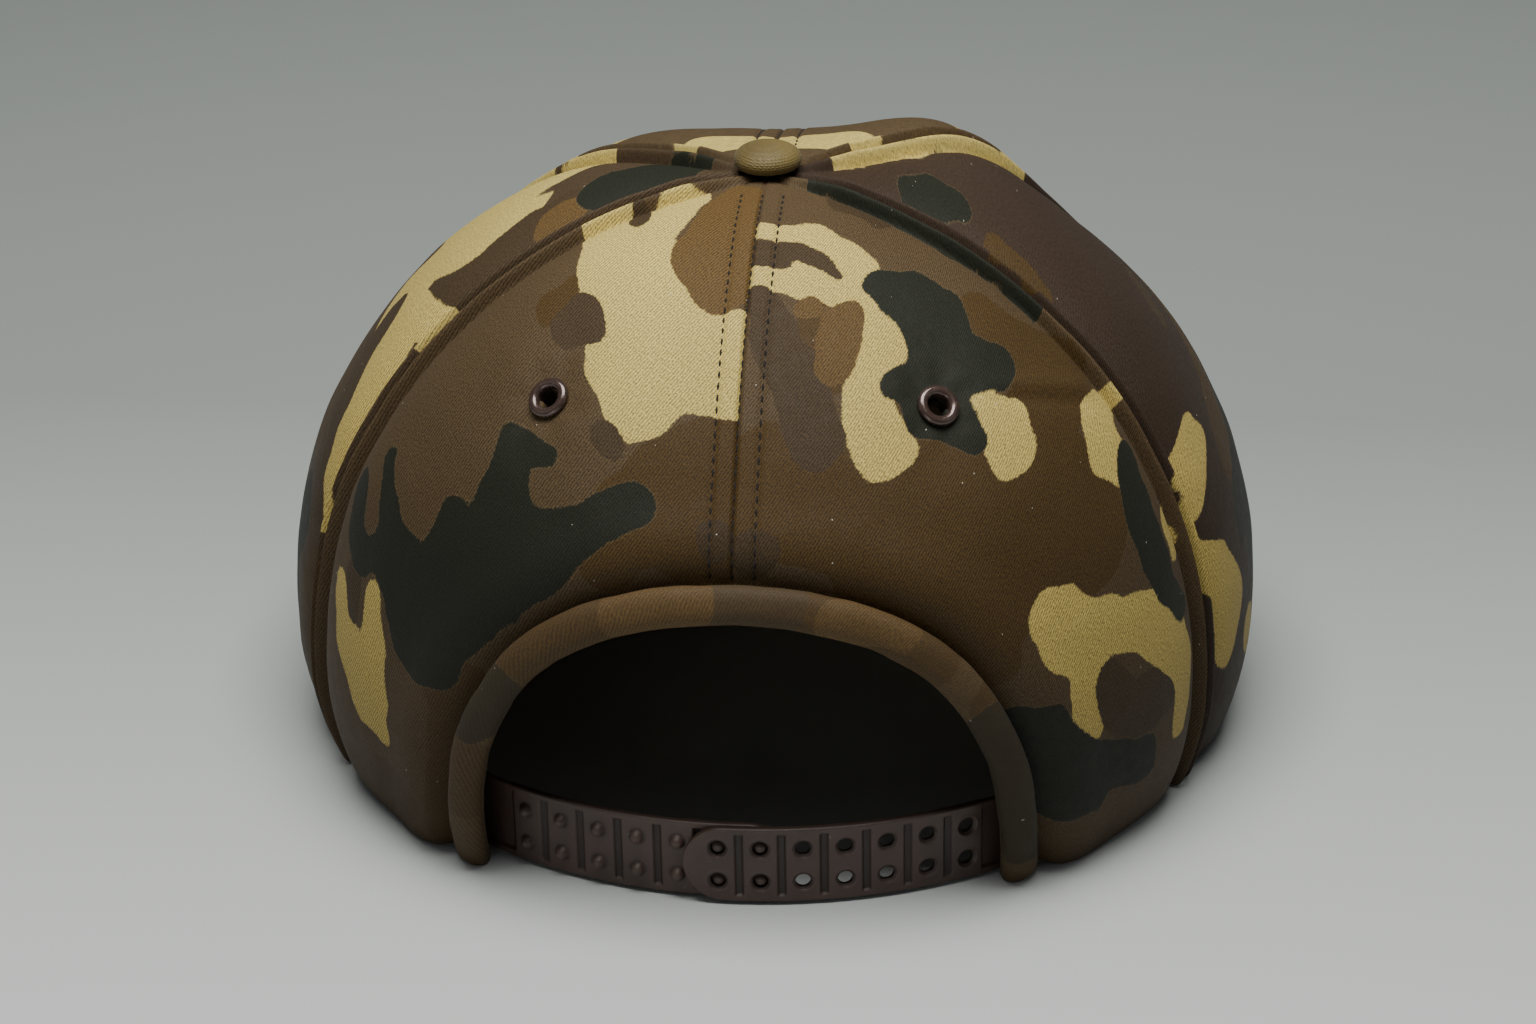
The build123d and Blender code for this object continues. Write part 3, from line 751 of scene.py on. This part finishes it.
def stitch_run(lines, pitch, length, radius, sink=0.05):
    """Thread stitches along lines of (points, normals): each a small tapered bar lying along its line."""
    verts, faces = [], []
    ring, rings = 6, ((-0.5, 0.25), (-0.38, 0.85), (0.0, 1.0), (0.38, 0.85), (0.5, 0.25))
    for points, normals in lines:
        step = np.linalg.norm(np.diff(points, axis=0), axis=1)
        along = np.concatenate([[0], np.cumsum(step)])
        for m in np.arange(pitch / 2, along[-1] - pitch / 2, pitch):
            at = np.array([np.interp(m, along, points[:, i]) for i in range(3)])
            a = np.array([np.interp(m + length / 2, along, points[:, i]) for i in range(3)])
            b = np.array([np.interp(m - length / 2, along, points[:, i]) for i in range(3)])
            nrm = np.array([np.interp(m, along, normals[:, i]) for i in range(3)])
            t = (a - b) / (np.linalg.norm(a - b) + 1e-9)
            nrm = nrm - t * (nrm @ t)
            nrm /= np.linalg.norm(nrm) + 1e-9
            side = np.cross(t, nrm)
            base = len(verts)
            for u, w in rings:
                centre = at + t * u * length + nrm * (radius * (1.0 - 0.9 * abs(u) * 2) - sink)
                for j in range(ring):
                    ang = 2 * pi * j / ring
                    verts.append(centre + radius * w * (side * cos(ang) + nrm * sin(ang) * 0.8))
            faces += [tuple(base + i for i in f) for f in grid_faces(len(rings), ring, True)]
            faces += [tuple(base + j for j in reversed(range(ring))),
                      tuple(base + (len(rings) - 1) * ring + j for j in range(ring))]
    return verts, faces


def seam_line(name, d, side, s0, s1):
    """Line on a panel at distance d from its left (side 0) or right (side 1) seam, with normals."""
    a0, a1, _, _ = PANELS[name]
    s = np.arange(s0, s1, 1.2)
    r = at_s(s)[0]
    az = radians(a0) + d / r if side == 0 else radians(a1) - d / r
    h = panel_height(name, az, s)
    pts = on_crown(az, s, h)
    return pts, on_crown(az, s, h + 1) - pts


ARCH_S = s_of_z(ARCH_TOP + BINDING_W) + 1
DEEP, FLAT, MIDDLE = STITCH_D["deep"], STITCH_D["flat"], 0.02
# Each seam's rows: panel, distance from the seam, which side of the panel (0 left, 1 right), lowest arc length
stitch_lines = {
    "back": [("back_left", FLAT, 1, ARCH_S), ("back_right", FLAT, 0, ARCH_S), ("back_right", MIDDLE, 0, ARCH_S)],
    "back_left": [("back_left", DEEP, 0, 4), ("side_left", DEEP, 1, 4)],
    "back_right": [("back_right", DEEP, 1, 4), ("side_right", DEEP, 0, 4)],
    "front_left": [("side_left", DEEP, 0, 22), ("front_left", DEEP, 1, 22)],
    "front_right": [("side_right", DEEP, 1, 22), ("front_right", DEEP, 0, 22)],
    "front": [("front_right", FLAT, 1, 30), ("front_left", FLAT, 0, 30), ("front_left", MIDDLE, 0, 30)],
}
for seam, runs in stitch_lines.items():
    lines = [seam_line(n, d, side, s0, S_TOP - 11) for n, d, side, s0 in runs]
    size = (0.26, 0.12) if PANELS[runs[0][0]][2 + runs[0][2]] == "flat" else (0.2, 0.16)
    obj = mesh_object("stitches_" + seam, *stitch_run(lines, 2.7, 2.0, *size))
    finish_piece(obj, [THREAD])


# ---- binding


def build_binding():
    """Rolled binding round the arch."""
    base = catmull(mirrored(ARCH_HALF, ARCH_TOP), 16)
    d = np.gradient(base, axis=0)
    d /= np.linalg.norm(d, axis=1)[:, None]
    mid = base + np.stack([-d[:, 1], d[:, 0]], -1) * 3.6
    mid = mid[mid[:, 1] > 0.2]
    x, z = mid[:, 0], mid[:, 1]
    s = s_of_z(z)
    r = at_s(s)[0]
    az = np.arcsin(x / r)
    path = on_crown(az, s, np.full(len(x), -1.1))
    nrm = on_crown(az, s, 1.0) - on_crown(az, s, 0.0)
    tan = np.gradient(path, axis=0)
    tan /= np.linalg.norm(tan, axis=1)[:, None]
    side = np.cross(tan, nrm)
    side /= np.linalg.norm(side, axis=1)[:, None]
    along = np.concatenate([[0], np.cumsum(np.linalg.norm(np.diff(path, axis=0), axis=1))])
    half = along[-1] / 2
    even = np.concatenate([[0, 0.25, 0.6, 1.1, 1.8], np.arange(2.6, along[-1] - 2, 0.9),
                           along[-1] - np.array([1.8, 1.1, 0.6, 0.25, 0])])
    path, nrm, side = (np.stack([np.interp(even, along, v[:, i]) for i in range(3)], -1)
                       for v in (path, nrm, side))
    ring = 30
    ang = np.linspace(0, 2 * pi, ring, endpoint=False)
    cx = 4.1 * np.sign(np.cos(ang)) * np.abs(np.cos(ang)) ** 0.85
    cy = 2.75 * np.sign(np.sin(ang)) * np.abs(np.sin(ang)) ** 0.9
    end = np.minimum(even, along[-1] - even)
    cap = 0.72 + 0.28 * np.sqrt(1 - np.clip(1 - end / 1.1, 0, 1) ** 2)
    section = side[:, None, :] * cx[None, :, None] + nrm[:, None, :] * cy[None, :, None]
    pts = path[:, None, :] + section * cap[:, None, None]
    wob = noise_field(pts, 11, 21) * 0.28 + noise_field(pts, 4, 22, 1) * 0.1
    out = pts - path[:, None, :]
    pts = path[:, None, :] + out * (1 + wob[..., None] / 4.0)
    pts[..., 2] = np.maximum(pts[..., 2], 0.0)
    faces = grid_faces(len(even), ring, True)
    faces += [tuple(range(ring - 1, -1, -1)), tuple((len(even) - 1) * ring + j for j in range(ring))]
    obj = mesh_object("opening_binding_roll", pts.reshape(-1, 3), faces)
    p = np.repeat((even - half)[:, None], ring, 1).ravel()
    q = np.repeat((ang * 3.2)[None, :], len(even), 0).ravel()
    shapes = random_camo(40, (-100, 100, -10, 20), 0.8)
    shapes["cream"] = [[(96, 30, 1)]]
    shapes["tan"] = [[(-18, 6, 8), (-8, 6, 6)], [(22, 4, 5), (34, 8, 4)]]
    shapes["brown"] = [[(-2, 6, 8), (8, 6, 7)]]
    shapes["olive"] = [[(-45, 5, 16), (-20, 5, 12)], [(30, 5, 18)], [(60, 8, 6)], [(-80, 5, 10)]]
    shapes["green"] = [[(70, 5, 12), (90, 8, 10)], [(40, 14, 4)], [(-60, 5, 9), (-66, 8, 6)]]
    camo_fields(obj, p, q, shapes, 41, lift=np.repeat(np.interp(even, along, s), ring))
    finish_piece(obj, [BINDING_CLOTH], nodes=["opening_binding"])


build_binding()


# ---- visor


def visor_grid(rows=70, cols=150):
    """Plan points from the crown to the visor's edge, with each point's distance from the edge."""
    line = catmull(mirrored(VISOR_HALF, VISOR_TIP_Y), 24)
    length = np.concatenate([[0], np.cumsum(np.hypot(*np.diff(line, axis=0).T))])
    u = np.linspace(0, length[-1], cols)
    ox, oy = np.interp(u, length, line[:, 0]), np.interp(u, length, line[:, 1])
    ang = np.linspace(-acos(49 / 101.5), acos(49 / 101.5), cols)
    ix, iy = 97.5 * np.sin(ang), 97.5 * np.cos(ang)
    near_edge = 0.94 + 0.06 * np.sin(np.linspace(0.05, 1, 14) * pi / 2)
    w = np.concatenate([np.linspace(0, 0.94, rows - 14), near_edge])
    x = ix[None, :] + (ox - ix)[None, :] * w[:, None]
    y = iy[None, :] + (oy - iy)[None, :] * w[:, None]
    reach = np.hypot(ox - ix, oy - iy)
    gap = reach[None, :] * (1 - w[:, None])
    return x, y, gap


# Distances of the stitch rows from the visor's edge
ROWS_D = [3.0 + 6.5 * k for k in range(8)]


def visor_cover(name, node, sign, seed):
    """Top (sign 1) or under (sign -1) cover, with its rows of stitches."""
    x, y, gap = visor_grid()
    z = visor_z(x, y)
    edge = np.clip(1 - gap / 2.6, 0, 1)
    half = VISOR_HALF_T * np.sqrt(1 - edge ** 2) - (0 if sign > 0 else 0.12)
    groove = sum(VISOR_GROOVE * np.exp(-((gap - d) / 0.7) ** 2) for d in ROWS_D)
    soft = 0.12 * noise_field(np.stack([x, y], -1), 16, seed)
    lift = half - (groove + soft) * (1 - edge)
    face = np.stack([x, y, z + sign * np.maximum(lift, 0)], -1).reshape(-1, 3)
    back = np.stack([x, y, z + sign * 0.02], -1).reshape(-1, 3)
    faces = grid_faces(*x.shape)
    if sign < 0:
        faces = [f[::-1] for f in faces]
    points, every, used, _, _ = thick_sheet(face, back, [tuple(f) for f in faces])
    obj = mesh_object(name, points, every)
    p, q = np.concatenate([x.ravel()] * 2)[used], np.concatenate([y.ravel()] * 2)[used]
    camo_fields(obj, p, q, random_camo(seed, (-95, 95, 40, 180)), seed)
    finish_piece(obj, [CLOTH], nodes=[node])
    lines = []
    for d in ROWS_D:
        px, py = [], []
        for j in range(2, x.shape[1] - 2):
            col = gap[::-1, j]
            if col[-1] > d + 6:
                px.append(np.interp(d, col, x[::-1, j]))
                py.append(np.interp(d, col, y[::-1, j]))
        if len(px) > 8:
            px, py = np.array(px), np.array(py)
            pz = visor_z(px, py) + sign * (VISOR_HALF_T - VISOR_GROOVE)
            pts = np.stack([px, py, pz], -1)
            lines.append((pts, np.repeat([[0, 0, float(sign)]], len(px), 0)))
    rows = mesh_object(name + "_stitches", *stitch_run(lines, 2.7, 2.0, 0.22))
    finish_piece(rows, [THREAD])


visor_cover("visor_top", "visor_top_cover", 1, 51)
visor_cover("visor_under", "visor_under_cover", -1, 52)


# ---- button and eyelets


def lathe(name, profile, segments, place=Matrix(), ripple=None):
    """Closed surface turned about the local Z axis from (radius, height) points."""
    verts, n = [], len(profile)
    for i, (r, z) in enumerate(profile):
        for j in range(segments):
            a = 2 * pi * j / segments
            rr = r * (1 + (ripple(i / (n - 1), a) if ripple else 0))
            verts.append(place @ Vector((rr * cos(a), rr * sin(a), z)))
    faces = grid_faces(n, segments, True)
    closed = abs(profile[0][0] - profile[-1][0]) < 1e-6 and abs(profile[0][1] - profile[-1][1]) < 1e-6
    if not closed:
        faces += [tuple(range(segments - 1, -1, -1)), tuple((n - 1) * segments + j for j in range(segments))]
    return mesh_object(name, verts, faces)


def build_button():
    """Domed cover with pleats gathered at its edge."""
    prof = [(1.6, 0.2), (5.2, 0.1), (6.4, 0.25), (7.0, 0.7), (7.35, 1.4), (7.4, 2.1), (7.2, 2.8), (6.7, 3.5),
            (5.8, 4.2), (4.6, 4.75), (3.2, 5.15), (1.8, 5.38), (0.7, 5.46), (0.05, 5.48)]
    prof = [tuple(v) for v in catmull(prof, 4)]

    def pleat(t, a):
        return 0.016 * sin(22 * a) * max(0.0, 1 - t * 2.6) + 0.008 * sin(3 * a + 1)

    obj = lathe("button_dome", prof, 96, Matrix.Translation((0, 0, CROWN_TOP)), pleat)
    finish_piece(obj, [BUTTON_CLOTH], nodes=["button_cover"])


build_button()


def eyelet_matrix(side):
    """Place of an eyelet, its Z axis pointing out of the cloth."""
    a, e = radians(EYELET_AZ * side), radians(EYELET_RISE)
    zdir = Vector((cos(e) * sin(a), -cos(e) * cos(a), sin(e)))
    xdir = Vector((cos(a), sin(a), 0))
    ydir = zdir.cross(xdir)
    m = Matrix((xdir, ydir, zdir)).transposed().to_4x4()
    m.translation = Vector((EYELET_R0 * sin(a), -EYELET_R0 * cos(a), EYELET_Z))
    return m


def build_eyelet(side, label):
    """Rolled eyelet: ring outside, barrel through the cloth."""
    ring = [(3.4 + 1.08 * cos(t), 0.35 + 0.95 * sin(t)) for t in np.linspace(-0.35 * pi, 1.0 * pi, 18)]
    prof = [(2.8, -4.6), (2.8, -0.2), (3.6, -0.25), *ring, (2.36, -0.6), (2.36, -4.6)]
    prof.append(prof[0])
    obj = lathe("eyelet_ring_" + label, prof, 64, eyelet_matrix(side))
    finish_piece(obj, [ENAMEL], nodes=["eyelet_" + label])


build_eyelet(-1, "left")
build_eyelet(1, "right")


# ---- straps


# First row's azimuth and the step in degrees, and half the distance between the two in a row
ROW_AZ0, ROW_STEP, ROW_HALF = -28.35, 5.195, 3.915
STRAP_MID = STRAP_Z + STRAP_H / 2


def strap_piece(name, node, body, sizes, az_end, sign, rows, holes):
    """Free part of a strap: rails and pads with grooves between, and a row pair of pegs or holes on each pad."""
    r0, low, top = sizes
    mid_r = r0 + top / 2
    start = radians(HINGE_AZ) - HINGE_GAP / HINGE_R
    length = (start + radians(az_end)) * mid_r
    tip_steps = [0.03, 0.12, 0.28, 0.5, 0.78, 1.1, 1.45, 1.85, 2.3]
    d = np.concatenate([tip_steps, np.arange(2.6, length, 0.24), [length]])
    round_half = np.sqrt(np.maximum((STRAP_H / 2) ** 2 - (STRAP_H / 2 - d) ** 2, 0))
    half = np.where(d < STRAP_H / 2, round_half, STRAP_H / 2)
    w = np.linspace(-1, 1, 75)
    az = (-radians(az_end) + d / mid_r) * sign
    u = np.repeat(az[:, None] * mid_r, len(w), 1)
    z = half[:, None] * w[None, :]
    centres = [(radians(ROW_AZ0 + ROW_STEP * i) * mid_r, k * ROW_HALF) for i in rows for k in (-1, 1)]
    rho = np.full(u.shape, 99.0)
    for cu, cz in centres:
        dist = np.hypot(u - cu, z - cz)
        rho = np.minimum(rho, dist)
    tip = np.where(d[:, None] < STRAP_H / 2, STRAP_H / 2 - np.hypot(STRAP_H / 2 - d[:, None], z), 99)
    rim = np.minimum(STRAP_H / 2 - np.abs(z), tip)
    step = radians(ROW_STEP) * mid_r
    off = np.abs((u - radians(ROW_AZ0) * mid_r + step / 2) % step - step / 2)
    pad = np.clip((0.41 * step - off) / 0.45 + 0.5, 0, 1)
    pad = np.where(u * sign < radians(ROW_AZ0 + ROW_STEP * rows[0]) * mid_r, 1.0, pad) if holes else pad
    rail = np.clip((RAIL_W - rim) / 0.4 + 0.5, 0, 1)
    h = low + (top - low) * np.maximum(pad, rail)
    if holes:
        h = h + 0.1 * np.exp(-((rho - 2.45) / 0.3) ** 2) - 0.5 * np.clip((SINK_R - rho) / 0.2, 0, 1)
    else:
        h = h + PEG_RISE * np.maximum(1 - (rho / PEG_R) ** 2.5, 0) ** 0.75
    round_off = np.clip(1 - rim / 0.4, 0, 1)
    h = h - 0.35 * (1 - np.sqrt(np.maximum(1 - round_off ** 2, 0)))

    def put(r):
        return np.stack([r * np.sin(u / mid_r), -r * np.cos(u / mid_r), STRAP_MID + z], -1).reshape(-1, 3)

    faces = grid_faces(*u.shape)
    flat = rho.ravel()
    if holes:
        faces = [f for f in faces if np.mean(flat[list(f)]) > HOLE_R]
        sides = {}
        for f in faces:
            for k, v in zip(f, f[1:] + f[:1]):
                sides[frozenset((k, v))] = sides.get(frozenset((k, v)), 0) + 1
        # Points on a hole's edge go onto a true circle
        for i in {v for e, times in sides.items() if times == 1 for v in e if flat[v] < 2.4}:
            cu, cz = min(centres, key=lambda c: hypot(u.flat[i] - c[0], z.flat[i] - c[1]))
            k = HOLE_R / hypot(u.flat[i] - cu, z.flat[i] - cz)
            u.flat[i], z.flat[i] = cu + (u.flat[i] - cu) * k, cz + (z.flat[i] - cz) * k
    outer, inner = put(r0 + h), put(np.full(u.shape, r0))
    points, every, used, _, _ = thick_sheet(outer, inner, faces)
    obj = mesh_object(name, points, every)
    # Painted shade for the plastic: deeper grooves, and a ring round each peg's foot, darken its colour.
    deep = np.clip((top - h) / (top - low), 0, 1)
    if not holes:
        deep = np.maximum(deep, 0.8 * np.exp(-((rho - 1.75) / 0.3) ** 2))
    set_attribute(obj, "recess_shade", np.concatenate([deep.ravel(), deep.ravel() * 0])[used])
    finish_piece(obj, [PLASTIC], body=body, nodes=[node])


strap_piece("peg_strap_free", "peg_strap", "peg_strap_body", PEG_STRAP, 6.6, -1, range(0, 7), False)
strap_piece("hole_strap_free", "hole_strap", "hole_strap_body", HOLE_STRAP, 6.7, 1, range(5, 12), True)


def strap_neck(name, node, sizes, sign):
    """Strap from its sewn root to the free part."""
    r0, low, top = sizes
    z0, z1 = STRAP_Z, STRAP_Z + STRAP_H
    section = [(0, z0 + 0.25), (0.25, z0), (top - 0.25, z0), (top, z0 + 0.25), (top, z0 + RAIL_W - 0.2),
               (low, z0 + RAIL_W + 0.2), (low, z1 - RAIL_W - 0.2), (top, z1 - RAIL_W + 0.2), (top, z1 - 0.25),
               (top - 0.25, z1), (0.25, z1), (0, z1 - 0.25)]
    gap = HINGE_GAP / HINGE_R
    hinge = radians(HINGE_AZ)
    start, stop = radians(44.0), hinge - gap - radians(0.3)
    az = np.concatenate([np.linspace(start, hinge + 3 * gap, 10), np.linspace(hinge + 2.5 * gap, stop, 16)])
    verts = []
    for a in az:
        for r, z in section:
            verts.append(((r0 + r) * sin(a) * sign, -(r0 + r) * cos(a), z))
    faces = grid_faces(len(az), len(section), True)
    faces += [tuple(range(len(section) - 1, -1, -1)),
              tuple((len(az) - 1) * len(section) + j for j in range(len(section)))]
    if sign < 0:
        faces = [f[::-1] for f in faces]
    obj = mesh_object(name, verts, faces, False)

    finish_piece(obj, [PLASTIC], body=None, nodes=[node])
    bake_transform(obj)


strap_neck("peg_strap_neck", "peg_strap_root", PEG_STRAP, -1)
strap_neck("hole_strap_neck", "hole_strap_root", HOLE_STRAP, 1)


# ---- CAD nodes that stay


def dress(node, material):
    """Gives a CAD node its material."""
    obj = frame["nodes"][node]
    obj.data.materials.clear()
    obj.data.materials.append(material)


for node in frame["nodes"]:
    if node.startswith("seam_tape"):
        dress(node, TAPE)
for node, material in (("sweatband", SWEAT), ("visor_board", BOARD),
                       ("button_core", BRIGHT), ("button_rivet", BRIGHT), ("button_washer", BRIGHT),
                       ("eyelet_washer_left", ENAMEL), ("eyelet_washer_right", ENAMEL)):
    dress(node, material)


# ---- stage, light and camera


def build_stage():
    """Pale floor with painted shade, darker towards the back."""
    side = 4000
    corners = [(-side, -side, 0), (side, -side, 0), (side, side, 0), (-side, side, 0)]
    obj = mesh_object("floor", corners, [(0, 1, 2, 3)], False)
    n = Nodes("floor_paper")
    coord = n.add("ShaderNodeTexCoord").outputs["Object"]
    along = n.add("ShaderNodeSeparateXYZ", {0: coord}).outputs[1]
    near = n.mix(n.noise(coord, 3.0, 2), srgb(202, 206, 206), srgb(198, 202, 202))
    # Painted shade: the floor's colour darkens towards the back.
    tone = n.mix(n.ramp(along, -0.16, 0.15), near, srgb(146, 152, 149))
    n.shade(tone, 0.75)
    n.bsdf.inputs["Specular IOR Level"].default_value = 0.2
    obj.data.materials.append(n.mat)


build_stage()


def area_light(name, size, power, place, target, color=(1, 1, 1)):
    data = bpy.data.lights.new(name, "AREA")
    data.shape, data.size, data.size_y = "RECTANGLE", size[0], size[1]
    data.energy, data.color = power, color
    obj = bpy.data.objects.new(name, data)
    obj.location = place
    obj.rotation_euler = (Vector(target) - Vector(place)).to_track_quat("-Z", "Y").to_euler()
    bpy.context.scene.collection.objects.link(obj)


area_light("top_softbox", (0.8, 0.6), 17.0, (0.0, -0.10, 1.1), (0, 0, 0.05), (1.0, 0.985, 0.95))
area_light("left_softbox", (0.7, 0.9), 0.5, (-1.1, -0.5, 0.7), (0, 0, 0.06), (0.97, 0.98, 1.0))
area_light("right_softbox", (0.7, 0.9), 0.5, (1.1, -0.4, 0.7), (0, 0, 0.06), (1.0, 0.99, 0.98))
# Keeps the inside of the crown from going black
area_light("low_fill", (0.4, 0.3), 0.55, (-0.2, -0.85, 0.14), (0, 0.05, 0.04))

world = bpy.data.worlds.new("studio")
world.use_nodes = True
world.node_tree.nodes["Background"].inputs[0].default_value = (0.62, 0.65, 0.66, 1)
world.node_tree.nodes["Background"].inputs[1].default_value = 0.11
bpy.context.scene.world = world

# Distance in metres, azimuth, elevation, roll and target
CAM_D, CAM_AZ, CAM_EL, CAM_ROLL = 0.804, radians(5.4), radians(26.3), radians(-1.1)
CAM_TARGET = Vector((-0.0014, 0, 0.0428))
back = Vector((sin(CAM_AZ) * cos(CAM_EL), -cos(CAM_AZ) * cos(CAM_EL), sin(CAM_EL)))
right = (-back).cross(Vector((0, 0, 1))).normalized()
upward = right.cross(-back)
r_axis = right * cos(CAM_ROLL) + upward * sin(CAM_ROLL)
u_axis = -right * sin(CAM_ROLL) + upward * cos(CAM_ROLL)
cam_data = bpy.data.cameras.new("camera")
cam_data.lens, cam_data.sensor_width = 82.8, 36.0
cam_data.clip_start, cam_data.clip_end = 0.01, 50
cam = bpy.data.objects.new("camera", cam_data)
m = Matrix((r_axis, u_axis, back)).transposed().to_4x4()
m.translation = CAM_TARGET + back * CAM_D
cam.matrix_world = m
bpy.context.scene.collection.objects.link(cam)
bpy.context.scene.camera = cam
